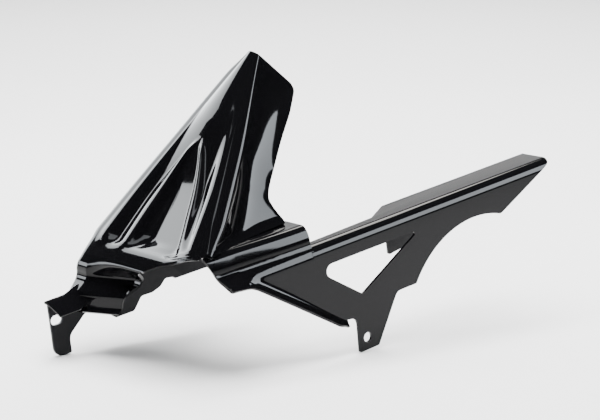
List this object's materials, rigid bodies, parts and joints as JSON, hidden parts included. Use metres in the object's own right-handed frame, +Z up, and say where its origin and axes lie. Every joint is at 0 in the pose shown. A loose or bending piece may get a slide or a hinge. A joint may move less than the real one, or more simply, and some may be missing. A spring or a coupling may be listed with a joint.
{
  "type": "motorcycle rear hugger mudguard",
  "caption": "Rear hugger mudguard with chain guard, formed from one gloss black plastic sheet: pointed ribbed blade, shoulder, guard plate with bored foot, slotted side tab",
  "frame": {"origin": "on the axis of the foot bore, at the outer face of the chain guard's plate", "axes": "+X towards the rear of the motorcycle, +Y along the foot bore from the guard plate towards the tab on the right side, +Z up as the part stands on a table on its foot and tab"},
  "size_m": [0.5672, 0.2259, 0.3241],
  "materials": {
    "black_sheet": "gloss"
  },
  "bodies": {
    "root": {"hugger": "black_sheet"}
  },
  "joints": []
}
